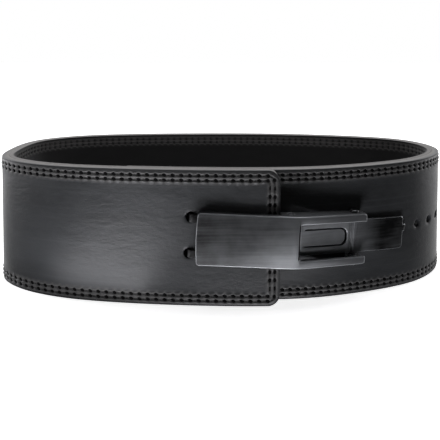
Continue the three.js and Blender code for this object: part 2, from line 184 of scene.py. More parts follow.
# Plan curve and the places along it
class Plan:
    """The closed plan of the outer face, read by its length from the front middle."""

    SAMPLES = 400

    def __init__(self):
        points = np.array(PLAN_ROWS) * (HALF_WIDTH, HALF_DEPTH)
        share = np.linspace(0, 1, self.SAMPLES, endpoint=False)[:, None]
        pieces = []
        for index in range(len(points)):
            before, start, end, after = (points[(index + k) % len(points)] for k in (-1, 0, 1, 2))
            leave = (end - before) / 2
            arrive = (after - start) / 2
            pieces.append(
                (2 * start - 2 * end + leave + arrive) * share**3
                + (3 * end - 3 * start - 2 * leave - arrive) * share**2
                + leave * share
                + start
            )
        line = np.concatenate(pieces)
        self.line = np.vstack([line, line[:1]])
        steps = np.hypot(*np.diff(self.line, axis=0).T)
        self.reach = np.concatenate([[0], np.cumsum(steps)])
        self.length = self.reach[-1]
        self.shift = np.zeros(2)

    def at(self, along):
        """The places on the plan at these lengths."""
        place = np.mod(along, self.length)
        return np.stack([np.interp(place, self.reach, self.line[:, k]) for k in (0, 1)], -1)

    def inward(self, along):
        """The ways into the waist at these lengths."""
        step = 0.3 * MM
        tangent = self.at(along + step) - self.at(along - step)
        tangent /= np.hypot(tangent[..., 0], tangent[..., 1])[..., None]
        return np.stack([-tangent[..., 1], tangent[..., 0]], -1)

    def lap_share(self, along):
        """1 where the strip runs under the flap, falling to 0 where it has come out to the plan."""
        share = np.clip((along / self.length - TURN_START) / (TURN_END - TURN_START), 0, 1)
        return 1 - share * share * (3 - 2 * share)

    def face(self, along, inset):
        """A place on the strip, inset from its outer face."""
        deep = inset + (BELT_THICKNESS + LAP_GAP) * self.lap_share(along)
        return self.at(along) + self.inward(along) * np.asarray(deep)[..., None] + self.shift

    def top_height(self, along):
        """How high the strip stands, a little less at its inner end."""
        return BELT_WIDTH - INNER_END_DROP * self.lap_share(along)


plan = Plan()
STRIP_START = FLAP_END - LAP_LENGTH
STRIP_END = FLAP_END + plan.length
outer_line = plan.face(np.linspace(STRIP_START, STRIP_END, 4000), 0.0)
plan.shift = np.array(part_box("outer_leather")[0][:2]) - outer_line.min(0)


def on_strip(along, height, inset):
    """Bends flat strip places, as arrays, to the fastened belt."""
    flat = plan.face(along, inset)
    up = height * plan.top_height(along) / BELT_WIDTH
    return np.column_stack([flat[:, 0], flat[:, 1], up])


def flap_frame():
    """The buckle's frame: the flap's end on its outer face, rolled about the way in."""
    x, y = plan.face(np.array([STRIP_END]), 0.0)[0]
    return Matrix.Translation((x, y, BUCKLE_HEIGHT)) @ Matrix.Rotation(BUCKLE_ROLL, 4, "Y")


BUCKLE = flap_frame()
STRAIGHT_START = STRIP_START + END_CORNER
STRAIGHT_END = STRIP_END - END_CORNER
STRAIGHT_STITCHES = round((STRAIGHT_END - STRAIGHT_START) / STITCH_PITCH)


# Flat places on the strip
def edge_distance(along, height):
    """How far a flat strip place is from the strip's outline, whose ends have rounded corners."""
    half_long = (STRIP_END - STRIP_START) / 2
    x = np.abs(along - (STRIP_START + STRIP_END) / 2) - (half_long - END_CORNER)
    y = np.abs(height - BELT_WIDTH / 2) - (BELT_WIDTH / 2 - END_CORNER)
    outside = np.hypot(np.maximum(x, 0), np.maximum(y, 0))
    return END_CORNER - outside - np.minimum(np.maximum(x, y), 0)


def stitch_row(inset):
    """Stitch holes round the strip's outline; both rows share their places on the long sides."""
    straight = np.linspace(STRAIGHT_START, STRAIGHT_END, STRAIGHT_STITCHES + 1)
    corner = max(END_CORNER - inset, STITCH_CORNER)
    right = STRIP_END - inset
    low = inset
    high = BELT_WIDTH - inset
    lead = right - corner - STRAIGHT_END
    arc = math.pi * corner / 2
    upright = high - low - 2 * corner
    total = 2 * (lead + arc) + upright
    count = round(total / STITCH_PITCH)
    turn = []
    for k in range(1, count):
        reach = k * total / count
        flip = reach > total / 2
        reach = min(reach, total - reach)
        if reach < lead:
            spot = (STRAIGHT_END + reach, low)
        elif reach < lead + arc:
            angle = (reach - lead) / corner - math.pi / 2
            spot = (right - corner + corner * math.cos(angle), low + corner + corner * math.sin(angle))
        else:
            spot = (right, low + corner + reach - lead - arc)
        turn.append((spot[0], BELT_WIDTH - spot[1]) if flip else spot)
    bottom = [(x, low) for x in straight]
    top = [(x, high) for x in reversed(straight)]
    far = [(STRIP_START + STRIP_END - x, BELT_WIDTH - z) for x, z in turn]
    return np.array(bottom + turn + top + far)


stitch_rows = [stitch_row(inset) for inset in STITCH_ROWS]


def stitch_spots():
    """Each stitch as its start and its end."""
    found = []
    for row in stitch_rows:
        found += zip(row, np.roll(row, -1, 0))
    return found


def row_holes():
    """The single holes; the lever and the plate hide the first ones."""
    first = FIRST_FREE_HOLE - HIDDEN_ROW_HOLES * ROW_HOLE_PITCH
    return [(first + k * ROW_HOLE_PITCH, ROW_HOLE_HEIGHT) for k in range(ROW_HOLE_COUNT)]


def hook_holes():
    """The flap's two holes, one above the other in the buckle's rolled frame."""
    found = []
    for side in (-1, 1):
        place = BUCKLE @ Vector((-HOOK_FROM_FLAP_END, 0, side * HOOK_SPACING / 2))
        found.append((STRIP_END + place.x - BUCKLE.translation.x, place.z))
    return found


def punched_holes():
    """Every punched hole as its place along the strip, its height and its radius."""
    single = [(x, z, ROW_HOLE_RADIUS) for x, z in row_holes()]
    hooked = [(x, z, HOOK_HOLE_RADIUS) for x, z in hook_holes()]
    return single + hooked


# Relief of the leather
def bell(value, width):
    """1 at zero, falling smoothly to nothing a few widths away."""
    return np.exp(-((value / width) ** 2))


def nearest_stitch(along, height, row):
    """For each strip place, the way from the nearest hole of a row and that row's direction there."""
    ahead = np.roll(row, -1, 0) - np.roll(row, 1, 0)
    ahead /= np.hypot(ahead[:, 0], ahead[:, 1])[:, None]
    off_x = along[:, None] - row[None, :, 0]
    off_y = height[:, None] - row[None, :, 1]
    nearest = np.argmin(off_x**2 + off_y**2, axis=1)
    pick = np.arange(len(along))
    return off_x[pick, nearest], off_y[pick, nearest], ahead[nearest]


def dimple(x, y, level):
    """The slanted dimple at a stitch hole, upright where the row runs upright."""
    slant_x = np.where(level, x * math.cos(HOLE_LEAN) - y * math.sin(HOLE_LEAN), y)
    slant_y = np.where(level, x * math.sin(HOLE_LEAN) + y * math.cos(HOLE_LEAN), x)
    return np.exp(-((slant_x / DIMPLE_LONG) ** 2) - (slant_y / DIMPLE_SHORT) ** 2)


def stitch_relief(along, height):
    """How far the stitching sinks the face, how much shade is painted into its crease, dimples and
    grooves, and how much lighter it is painted: a highlight on its puckers and rings, and a lighter
    margin.
    """
    edge = edge_distance(along, height)
    sink = CREASE_DEPTH * bell(edge - CREASE_INSET, CREASE_WIDTH)
    # painted shade along the pressed crease
    painted_shade = bell(edge - CREASE_INSET, CREASE_SHADE_WIDTH)
    lightening = MARGIN_LIGHTENING * bell(edge - MARGIN_INSET, MARGIN_WIDTH)
    for inset, row in zip(STITCH_ROWS, stitch_rows):
        near = np.nonzero(np.abs(edge - inset) < STITCH_REACH)[0]
        for some in np.array_split(near, max(1, len(near) // BATCH)):
            x, y, ahead = nearest_stitch(along[some], height[some], row)
            run = x * ahead[:, 0] + y * ahead[:, 1]
            off = edge[some] - inset
            hole = dimple(x, y, np.abs(ahead[:, 0]) > LEVEL_ROW)
            between = 1 - bell(run, DIMPLE_HALF_GAP)
            groove = bell(off, GROOVE_WIDTH) * between
            pucker = bell(np.abs(off) - PUCKER_OFFSET, PUCKER_WIDTH) * between
            ring = bell(np.hypot(x, y) - RING_RADIUS, RING_WIDTH)
            sink[some] += DIMPLE_DEPTH * hole + GROOVE_DEPTH * groove
            sink[some] -= PUCKER_RISE * pucker + RING_RISE * ring
            # painted shade in the dimples and grooves, painted highlight on the puckers and rings
            painted_shade[some] = np.maximum(painted_shade[some], np.clip(DIMPLE_SHADE * hole, 0, 1))
            painted_shade[some] = np.maximum(painted_shade[some], GROOVE_SHADE * groove)
            lightening[some] = np.maximum(lightening[some], PUCKER_HIGHLIGHT * pucker)
            lightening[some] = np.maximum(lightening[some], RING_HIGHLIGHT * ring)
    return sink, painted_shade, lightening


def mouth_relief(along, height):
    """How far the face turns in round its punched holes."""
    sink = np.zeros_like(along)
    for x, z, radius in punched_holes():
        reach = np.hypot(along - x, height - z) - radius
        sink += MOUTH_DEPTH * np.exp(-np.maximum(reach, 0) / MOUTH_WIDTH)
    return sink


def waviness(along, height):
    """The slow unevenness of thick leather, with a faint fold along its upper half."""
    slow = np.sin(along / (31 * MM) + 1.3) * np.sin(height / (27 * MM) + along / (110 * MM))
    slower = np.sin(along / (83 * MM) + 0.4) + 0.6 * np.sin(along / (47 * MM) - height / (50 * MM))
    fold = bell(height - FOLD_HEIGHT - FOLD_SWAY * np.sin(along / (60 * MM)), FOLD_WIDTH)
    return SLOW_WAVE * slow + SLOWER_WAVE * slower + FOLD_DEPTH * fold


def rounding(edge, radius):
    """How far a face drops towards its rounded edge."""
    short = np.clip(radius - edge, 0, radius)
    return radius - np.sqrt(np.maximum(radius**2 - short**2, 0))


# Plies
def new_piece(name, build, smooth=True):
    """A mesh piece from a bmesh, linked to the scene."""
    mesh = bpy.data.meshes.new(name)
    build.to_mesh(mesh)
    build.free()
    piece = bpy.data.objects.new(name, mesh)
    bpy.context.scene.collection.objects.link(piece)
    if smooth:
        mesh.shade_smooth()
    return piece


def face_rows(radius):
    """Heights of the rows across the stitched face, close where it is rounded and stitched."""
    near = [radius * (1 - math.cos(math.radians(angle))) for angle in (0, 30, 60)]
    near.append(radius)
    while near[-1] < STITCHED_BAND:
        near.append(near[-1] + STITCHED_ROW_STEP)
    near.append(BAND_LAST_ROW)
    middle = list(np.linspace(MIDDLE_START, BELT_WIDTH - MIDDLE_START, MIDDLE_ROWS))
    return near + middle + [BELT_WIDTH - height for height in reversed(near)]


def section_rows(radius, span):
    """Rows right round a ply's section: shown face, upper rim, back and lower rim."""
    rows = face_rows(radius)
    rows += [BELT_WIDTH + span * k / RIM_ROWS for k in range(1, RIM_ROWS + 1)]
    rows += [BELT_WIDTH + span + BELT_WIDTH * k / BACK_ROWS for k in range(1, BACK_ROWS + 1)]
    rows += [2 * BELT_WIDTH + span + span * k / RIM_ROWS for k in range(1, RIM_ROWS + 1)]
    return np.array(rows)


def strip_columns(per_stitch):
    """Places along the strip, with a column at each stitch and round corners at both ends."""
    angles = np.linspace(0, math.pi / 2, CORNER_COLUMNS + 1)[1:]
    arc = [END_CORNER * math.sin(angle) for angle in angles]
    middle = np.linspace(STRAIGHT_START, STRAIGHT_END, STRAIGHT_STITCHES * per_stitch + 1)
    left = [STRAIGHT_START - reach for reach in reversed(arc)]
    return np.array(left + list(middle) + [STRAIGHT_END + reach for reach in arc])


def flat_places(build):
    """The first two coordinates of every vertex."""
    return np.array([vert.co[:2] for vert in build.verts])


def flat_grid(columns, rows):
    """A grid with a vertex at each column and row."""
    build = bmesh.new()
    bmesh.ops.create_grid(build, x_segments=len(columns) - 1, y_segments=len(rows) - 1, size=0.5)
    share = flat_places(build) + 0.5
    column = np.rint(share[:, 0] * (len(columns) - 1)).astype(int)
    row = np.rint(share[:, 1] * (len(rows) - 1)).astype(int)
    for vert, x, y in zip(build.verts, columns[column], rows[row]):
        vert.co = (x, y, 0)
    return build


def runs_across(edge):
    """Whether a grid edge runs across the strip."""
    return abs(edge.verts[0].co.x - edge.verts[1].co.x) < SAME_COLUMN


def crosses_upright_stitches(edge):
    """Whether a grid edge is a long one across the face, where the stitches run upright."""
    a, b = (vert.co for vert in edge.verts)
    near_end = min(a.x - STRIP_START, STRIP_END - a.x) < END_BAND
    on_face = max(a.y, b.y) < BELT_WIDTH
    return near_end and on_face and runs_across(edge) and abs(a.y - b.y) > LONG_EDGE


def near_spot(face, x, y, reach):
    """Whether a grid face lies within reach of a flat place."""
    middle = face.calc_center_median()
    return abs(middle.x - x) < reach and abs(middle.y - y) < reach


def refine(build):
    """Adds rows near both ends, where stitches run upright, and a finer grid round the holes."""
    ends = [edge for edge in build.edges if crosses_upright_stitches(edge)]
    bmesh.ops.subdivide_edges(build, edges=ends, cuts=END_CUTS, use_grid_fill=True)
    for x, z, radius in punched_holes():
        box = [face for face in build.faces if near_spot(face, x, z, radius + HOLE_MARGIN)]
        tall = {edge: True for face in box for edge in face.edges if runs_across(edge)}
        bmesh.ops.subdivide_edges(build, edges=list(tall), cuts=HOLE_CUTS, use_grid_fill=True)


def corner_drop(along):
    """How far the strip's outline drops below its straight edges near its ends."""
    past = np.maximum(np.maximum(along - STRAIGHT_END, STRAIGHT_START - along), 0)
    return END_CORNER - np.sqrt(np.maximum(END_CORNER**2 - past**2, 0))


def round_corners(along, height):
    """Heights drawn in where the strip's ends have round corners."""
    drop = corner_drop(along)
    from_edge = np.minimum(height, BELT_WIDTH - height)
    drawn_in = drop + from_edge * (CORNER_BAND - drop) / CORNER_BAND
    moved = np.where(from_edge < CORNER_BAND, drawn_in, from_edge)
    return np.where(height < BELT_WIDTH / 2, moved, BELT_WIDTH - moved)


def section_places(loop, span):
    """For rows round a ply's section: height, on the shown face, on the back, share of the rim."""
    on_face = loop < BELT_WIDTH + SAME_ROW
    on_back = (loop > BELT_WIDTH + span - SAME_ROW) & (loop < 2 * BELT_WIDTH + span + SAME_ROW)
    on_top = (loop > BELT_WIDTH) & (loop < BELT_WIDTH + span)
    top_share = (loop - BELT_WIDTH) / span
    low_share = (2 * BELT_WIDTH + 2 * span - loop) / span
    rim_share = np.where(loop < 1.5 * BELT_WIDTH, top_share, low_share)
    height = np.where(on_face, loop, np.where(on_top, BELT_WIDTH, 0.0))
    height = np.where(on_back, 2 * BELT_WIDTH + span - loop, height)
    return height, on_face, on_back, rim_share


def keep_number(build, name, values):
    """Keeps one number for each vertex, as an attribute that the finishes read."""
    layer = build.verts.layers.float.new(name)
    for vert, value in zip(build.verts, values):
        vert[layer] = value


def keep_flat_places(build, flat):
    """A UV map that holds each vertex's place on the flat strip, in metres."""
    uv = build.loops.layers.uv.new("UVMap")
    build.verts.index_update()
    for face in build.faces:
        for corner in face.loops:
            corner[uv].uv = flat[corner.vert.index]


def make_ply(name, shown_inset, hidden_inset, per_stitch):
    """One leather ply: a flat grid bent to a closed section, with relief on its shown face."""
    outside = hidden_inset > shown_inset
    way = 1 if outside else -1
    span = abs(hidden_inset - shown_inset)
    build = flat_grid(strip_columns(per_stitch), section_rows(EDGE_ROUND, span))
    refine(build)
    flat = flat_places(build)
    along = flat[:, 0]
    height, on_face, on_back, rim_share = section_places(flat[:, 1], span)
    height = round_corners(along, height)
    edge = edge_distance(along, height)
    sink, painted_shade, lightening = stitch_relief(along, height)
    sink += rounding(edge, EDGE_ROUND) + mouth_relief(along, height)
    sink += waviness(along, height) * np.clip(edge / CALM_MARGIN, 0, 1)
    rim_sink = np.where(on_back, span, EDGE_ROUND + rim_share * (span - EDGE_ROUND))
    sink = np.where(on_face, sink, rim_sink)
    bare_rim = np.clip(rim_share * RIM_BARE_RISE - RIM_BARE_DROP, 0, 1) if outside else 1.0
    # on the face, the painted highlight of puckers and rings and the lighter margin; on the rims and
    # back, the cut edge's own colour
    raw_and_highlight = np.where(on_face, lightening, np.where(on_back, 1.0, bare_rim))
    for vert, place in zip(build.verts, on_strip(along, height, shown_inset + way * sink)):
        vert.co = place
    # painted shade of the crease, dimples and grooves, kept for the finishes
    keep_number(build, "painted_shade", np.where(on_face, painted_shade, 0))
    keep_number(build, "raw_edge", raw_and_highlight)
    keep_flat_places(build, flat)
    bmesh.ops.remove_doubles(build, verts=build.verts, dist=SEAM_MERGE)
    bmesh.ops.holes_fill(build, edges=[edge for edge in build.edges if edge.is_boundary], sides=0)
    bmesh.ops.recalc_face_normals(build, faces=build.faces)
    return new_piece(name, build)


def strip_turn(along):
    """The strip's own axes at a place: along it, up, and out of the waist."""
    ahead = plan.face(np.array([along + MM]), 0.0)[0] - plan.face(np.array([along - MM]), 0.0)[0]
    tangent = Vector((ahead[0], ahead[1], 0)).normalized()
    outward = Vector((tangent.y, -tangent.x, 0))
    return Matrix((tangent, Vector((0, 0, 1)), outward)).transposed().to_4x4()


def hole_cutter():
    """Round cutters; a hook's ends inside the lap's gap, so that the strip's inner end stays whole."""
    build = bmesh.new()
    for along, height, radius in punched_holes():
        past = CUTTER_SPARE if radius == ROW_HOLE_RADIUS else HOOK_CUT_PAST
        deep = BELT_THICKNESS + past
        size = {"radius1": radius, "radius2": radius, "depth": deep + CUTTER_SPARE}
        made = bmesh.ops.create_cone(build, cap_ends=True, segments=CUTTER_SIDES, **size)
        x, y = plan.face(np.array([along]), 0.0)[0]
        sunk = Matrix.Translation((0, 0, (CUTTER_SPARE - deep) / 2))
        place = Matrix.Translation((x, y, height)) @ strip_turn(along) @ sunk
        bmesh.ops.transform(build, matrix=place, verts=made["verts"])
    bmesh.ops.recalc_face_normals(build, faces=build.faces)
    return new_piece("hole_cutter", build, smooth=False)


def settle(piece):
    """Applies a piece's modifiers to its mesh."""
    graph = bpy.context.evaluated_depsgraph_get()
    graph.update()
    solid = bpy.data.meshes.new_from_object(piece.evaluated_get(graph))
    piece.modifiers.clear()
    old = piece.data
    piece.data = solid
    name = old.name
    bpy.data.meshes.remove(old)
    solid.name = name


def cut(piece, cutter):
    """Takes a cutter's shape out of a piece."""
    step = piece.modifiers.new("holes", "BOOLEAN")
    step.operation = "DIFFERENCE"
    step.solver = "EXACT"
    step.object = cutter
    settle(piece)


SEAM_SHARE = (CAD_PLY_GAP - PLY_SEAM) / 2
OUTER_BACK = OUTER_PLY + SEAM_SHARE
LINING_BACK = OUTER_PLY + CAD_PLY_GAP - SEAM_SHARE
outer = make_ply("outer_leather_ply", 0.0, OUTER_BACK, OUTER_COLUMNS_PER_STITCH)
lining = make_ply("lining_leather_ply", BELT_THICKNESS, LINING_BACK, LINING_COLUMNS_PER_STITCH)
cutter = hole_cutter()
for ply in (outer, lining):
    cut(ply, cutter)
bpy.data.objects.remove(cutter)


# Stitches
def kept_shape(name, build):
    """A mesh to be repeated, kept outside the scene."""
    mesh = bpy.data.meshes.new(name)
    build.to_mesh(mesh)
    build.free()
    return mesh


def thread_shape():
    """One stitch before it is bent: a bar a unit long and a unit in radius."""
    build = bmesh.new()
    bmesh.ops.create_cone(build, cap_ends=True, segments=6, radius1=1, radius2=1, depth=1)
    upright = [e for e in build.edges if abs(e.verts[0].co.z - e.verts[1].co.z) > 0.5]
    bmesh.ops.subdivide_edges(build, edges=upright, cuts=3, use_grid_fill=True)
    bmesh.ops.rotate(build, verts=build.verts, matrix=Matrix.Rotation(math.pi / 2, 3, "Y"))
    return kept_shape("thread_shape", build)


def pit_shape():
    """One stitch hole before it is placed: a ball of a unit's radius."""
    build = bmesh.new()
    bmesh.ops.create_uvsphere(build, u_segments=8, v_segments=4, radius=1)
    return kept_shape("pit_shape", build)


def repeated(name, shape, place):
    """A small shape at every stitch; place turns its points into flat strip places."""
    spots = stitch_spots()
    build = bmesh.new()
    for _ in spots:
        build.from_mesh(shape)
    points = np.array([vert.co for vert in shape.vertices])
    flat = np.concatenate([place(points, start, end) for start, end in spots])
    for vert, co in zip(build.verts, on_strip(flat[:, 0], flat[:, 1], flat[:, 2])):
        vert.co = co
    bmesh.ops.recalc_face_normals(build, faces=build.faces)
    return new_piece(name, build)


def make_threads(name, face_inset, way):
    """The threads on one face, each arched between the holes where it dips into the leather."""

    def place(points, start, end):
        run = end - start
        side = np.array([-run[1], run[0]]) / np.hypot(*run)
        side = side * np.sign(side[1] if abs(side[1]) > 0.5 else 1)
        share = np.clip(points[:, 0] + 0.5, 0, 1)
        arch = np.clip(np.sin(np.pi * share), 0, 1)
        swing = THREAD_SWING * (arch - 0.5) + THREAD_RADIUS * points[:, 1]
        middle = start + run * (THREAD_START + THREAD_RUN * share[:, None])
        dip = THREAD_DIP * (1 - arch**0.5) + THREAD_REST
        deep = dip - THREAD_RADIUS * THREAD_FLATTENED * points[:, 2]
        return np.column_stack([middle + side * swing[:, None], face_inset + way * deep])

    return repeated(name, thread_shape(), place)


def make_painted_shade_pits(name):
    """Flattened balls, near black, in the outer face's stitch holes: painted shade standing in for the
    depth of the holes.
    """

    def place(points, start, end):
        level = abs(end[0] - start[0]) > abs(end[1] - start[1])
        angle = -HOLE_LEAN if level else math.pi / 2
        long_way = np.array([math.cos(angle), math.sin(angle)])
        short_way = np.array([-long_way[1], long_way[0]])
        spread = points[:, :1] * long_way * PIT_LONG + points[:, 1:2] * short_way * PIT_SHORT
        return np.column_stack([start + spread, PIT_INSET - PIT_DEPTH * points[:, 2]])

    return repeated(name, pit_shape(), place)


threads_out = make_threads("stitches_outside", 0.0, 1)
threads_in = make_threads("stitches_inside", BELT_THICKNESS, -1)
# painted shade: near-black balls in the stitch holes
painted_shade_pits = make_painted_shade_pits("painted_shade_in_stitch_holes")


# Buckle: each CAD piece copied, merged and given soft edges
HANDLE_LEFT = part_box("lever")[0][0]
# where the handle's painted light is at its fullest
HANDLE_PAINTED_LIT = HANDLE_LEFT + 75 * MM
TIP_SHORTER = 2.2 * MM
TIP_TAPER = 12 * MM
PLATE_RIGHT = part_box("base_plate")[1][0]
# the plate's painted shade at its right end, fading into painted light to the left
PLATE_PAINTED_SHADE = PLATE_RIGHT - 22 * MM
PLATE_PAINTED_LIT = PLATE_RIGHT - 50 * MM
MERGE_DISTANCE = 0.004 * MM
FLAT_ANGLE = math.radians(1.5)
SHARP_ANGLE = math.radians(32)


def softened(node, width, segments=3, worn=True):
    """A copy of a CAD piece whose edges are rounded, and worn where they are rounded, the worn edges
    also carrying a painted highlight.
    """
    build = bmesh.new()
    build.from_mesh(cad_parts[node].data)
    bmesh.ops.remove_doubles(build, verts=build.verts, dist=MERGE_DISTANCE)
    geometry = {"verts": build.verts, "edges": build.edges}
    bmesh.ops.dissolve_limit(build, angle_limit=FLAT_ANGLE, use_dissolve_boundaries=False, **geometry)
    piece = new_piece(f"{node}_steel", build)
    for _ in range(2 if worn else 1):
        piece.data.materials.append(None)
    edges = piece.modifiers.new("soft edges", "BEVEL")
    edges.width = width
    edges.segments = segments
    edges.limit_method = "ANGLE"
    edges.angle_limit = SHARP_ANGLE
    edges.harden_normals = True
    edges.use_clamp_overlap = False
    edges.material = 1 if worn else -1
    settle(piece)
    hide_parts(node)
    return piece


def shorten_tip(piece):
    """Draws the handle's tip back, most at its end, to where the photograph shows it."""
    for vert in piece.data.vertices:
        vert.co.x += TIP_SHORTER * max(0.0, 1 - (vert.co.x - HANDLE_LEFT) / TIP_TAPER)


lever = softened("lever", 0.8 * MM)
shorten_tip(lever)
plate = softened("base_plate", 0.35 * MM)
link = softened("hook_link", 0.5 * MM, worn=False)
pin = softened("link_pin", 0.3 * MM)
rivets = [softened(f"pivot_rivet_{end}", 0.15 * MM, segments=2) for end in ("upper", "lower")]
screws = [softened(f"mounting_screw_{k}", 0.2 * MM, segments=2) for k in (1, 2)]


# Shader maths
class Socket:
    """A shader socket whose arithmetic adds Math nodes."""

    def __init__(self, painter, socket):
        self.painter = painter
        self.socket = socket

    def _with(self, operation, other, clamp=False):
        settings = {"operation": operation, "use_clamp": clamp}
        return self.painter.node("ShaderNodeMath", settings, {0: self, 1: other})[0]

    def __add__(self, other):
        return self._with("ADD", other)

    def __sub__(self, other):
        return self._with("SUBTRACT", other)

    def __mul__(self, other):
        return self._with("MULTIPLY", other)

    def __rsub__(self, other):
        return (self * -1) + other

    __radd__ = __add__
    __rmul__ = __mul__

    def clamped(self):
        return self._with("ADD", 0.0, clamp=True)


class Painter:
    """A material's or a world's nodes, and the ways to add to them."""

    def __init__(self, owner):
        owner.use_nodes = True
        self.owner = owner
        self.nodes = owner.node_tree.nodes
        self.links = owner.node_tree.links

    def node(self, kind, settings, sockets):
        """A node of a kind, its settings made before its sockets are filled."""
        made = self.nodes.new(kind)
        for key, value in settings.items():
            setattr(made, key, value)
        for key, value in sockets.items():
            self.put(made.inputs[key], value)
        return [Socket(self, output) for output in made.outputs]

    def put(self, target, value):
        """Links a socket to a node's input, or sets the input to a value."""
        if isinstance(value, Socket):
            self.links.new(value.socket, target)
        else:
            target.default_value = value

    def coat(self, **values):
        """Fills the main shader's sockets, named with underscores for spaces."""
        shader = self.nodes["Principled BSDF"]
        for key, value in values.items():
            self.put(shader.inputs[key.replace("_", " ")], value)

    def object_place(self):
        return self.node("ShaderNodeTexCoord", {}, {})[3]

    def strip_place(self):
        return self.node("ShaderNodeTexCoord", {}, {})[2]

    def attribute(self, name):
        return self.node("ShaderNodeAttribute", {"attribute_name": name}, {})[2]

    def along_x(self, place):
        return self.node("ShaderNodeSeparateXYZ", {}, {0: place})[0]

    def stretched(self, place, scale):
        return self.node("ShaderNodeMapping", {}, {"Vector": place, "Scale": scale})[0]

    def noise(self, place, scale, detail, roughness):
        sockets = {"Vector": place, "Scale": scale, "Detail": detail, "Roughness": roughness}
        return self.node("ShaderNodeTexNoise", {}, sockets)[0]

    def cells(self, place, scale):
        return self.node("ShaderNodeTexVoronoi", {"feature": "F1"}, {"Vector": place, "Scale": scale})[0]

    def spread(self, value, low, high, most=1.0):
        """0 where a value is low, rising to most where it is high."""
        return self.node("ShaderNodeMapRange", {}, {0: value, 1: low, 2: high, 3: 0.0, 4: most})[0]

    def mixed(self, share, one, other):
        return self.node("ShaderNodeMix", {"data_type": "RGBA"}, {0: share, 6: one, 7: other})[2]

    def bump(self, height, strength, distance):
        sockets = {"Height": height, "Strength": strength, "Distance": distance}
        return self.node("ShaderNodeBump", {}, sockets)[0]

    def bump_over(self, normal, height, strength, distance):
        sockets = {"Height": height, "Strength": strength, "Distance": distance, "Normal": normal}
        return self.node("ShaderNodeBump", {}, sockets)[0]


def finish(name):
    """A painter for a new material."""
    return Painter(bpy.data.materials.new(name))


def grey(value, warmth=0.0):
    """A grey, a little warm, or cool where warmth is below zero."""
    return (value * (1 + warmth), value, value * (1 - warmth), 1)


# Finishes
def raw_rim(p, place, low, high):
    """The cut edge of the leather, with its fibres along the strip."""
    fibre = p.noise(p.stretched(place, (300.0, 1800.0, 1.0)), 1.0, detail=4.0, roughness=0.7)
    return p.mixed(fibre, grey(low, 0.03), grey(high, 0.04))


def leather_finish():
    """Black grain leather, glossier where it is pulled, with a burnished rim of bare cut leather; shade
    is painted into its crease and stitches, and a highlight onto its puckers and rings.
    """
    p = finish("black_grain_leather")
    place = p.strip_place()
    painted_shade = p.attribute("painted_shade")
    raw_and_highlight = p.attribute("raw_edge")
    pores = p.cells(place, 900.0)
    grain = p.noise(place, 420.0, detail=6.0, roughness=0.6)
    fine = p.noise(place, 2600.0, detail=3.0, roughness=0.5)
    cloud = p.noise(p.stretched(place, (9.0, 22.0, 1.0)), 1.0, detail=5.0, roughness=0.6)
    scuffs = p.noise(p.stretched(place, (150.0, 320.0, 1.0)), 1.0, detail=6.0, roughness=0.65)
    creases = p.noise(p.stretched(place, (4.0, 300.0, 1.0)), 1.0, detail=2.0, roughness=0.5)
    dents = p.noise(p.stretched(place, (55.0, 120.0, 1.0)), 1.0, detail=4.0, roughness=0.6)
    streaks = p.noise(p.stretched(place, (12.0, 520.0, 1.0)), 1.0, detail=3.0, roughness=0.6)
    tone = p.spread(cloud, 0.3, 0.7)
    face = p.mixed(tone, grey(0.014, -0.06), grey(0.046, -0.06))
    face = p.mixed(p.spread(creases, 0.58, 0.72, 0.2), face, grey(0.08, -0.05))
    face = p.mixed((scuffs * 0.5).clamped(), face, grey(0.05, -0.05))
    # painted shade: near black in the crease, stitch dimples and thread grooves
    face = p.mixed(painted_shade, face, grey(0.002))
    rough = 0.24 + grain * 0.14 + scuffs * 0.14 + tone * 0.08 + painted_shade * 0.3
    # the cut rim's own colour, and on the face the same grey as a painted highlight on puckers and rings
    # and a lighter margin
    p.coat(Base_Color=p.mixed(raw_and_highlight, face, raw_rim(p, place, 0.10, 0.24)))
    p.coat(Roughness=(rough + raw_and_highlight * 0.25).clamped(), Specular_IOR_Level=0.32)
    uneven = p.bump(dents + streaks * 0.06, 0.3, 1.2 * MM)
    scuffed = p.bump_over(uneven, scuffs, 0.3, 0.6 * MM)
    skin = pores * 0.5 + grain * 1.0 + fine * 0.25
    p.coat(Normal=p.bump_over(scuffed, skin, 0.35, 0.1 * MM))
    return p.owner


def lining_finish():
    """Matt black suede with a soft nap and the same cut rim, with shade and highlight painted at its
    stitches as on the face leather.
    """
    p = finish("black_suede_lining")
    place = p.strip_place()
    nap = p.noise(place, 1500.0, detail=5.0, roughness=0.7)
    brushed = p.noise(p.stretched(place, (40.0, 120.0, 1.0)), 1.0, detail=5.0, roughness=0.6)
    face = p.mixed(brushed, grey(0.004), grey(0.010, 0.01))
    # painted shade in the crease, stitch dimples and thread grooves
    face = p.mixed(p.attribute("painted_shade"), face, grey(0.003))
    # the cut rim's own colour, and a painted highlight on the puckers and rings
    p.coat(Base_Color=p.mixed(p.attribute("raw_edge"), face, raw_rim(p, place, 0.09, 0.22)))
    p.coat(Roughness=0.92, Sheen_Weight=0.15, Specular_IOR_Level=0.2)
    p.coat(Normal=p.bump(nap, 0.5, 0.2 * MM))
    return p.owner


def thread_finish():
    """Waxed black thread with its twist."""
    p = finish("waxed_black_thread")
    twist = p.noise(p.object_place(), 2400.0, detail=3.0, roughness=0.5)
    p.coat(Base_Color=p.mixed(twist, grey(0.006), grey(0.018)), Roughness=0.55)
    p.coat(Normal=p.bump(twist, 0.5, 0.2 * MM))
    return p.owner


def painted_shade_pit_finish():
    """Painted shade of a stitch hole: near black, with crushed fibres in it."""
    p = finish("stitch_hole_dark")
    fibres = p.noise(p.object_place(), 2600.0, detail=3.0, roughness=0.6)
    p.coat(Base_Color=p.mixed(fibres, grey(0.0015), grey(0.004)))
    p.coat(Roughness=0.95, Specular_IOR_Level=0.1)
    return p.owner


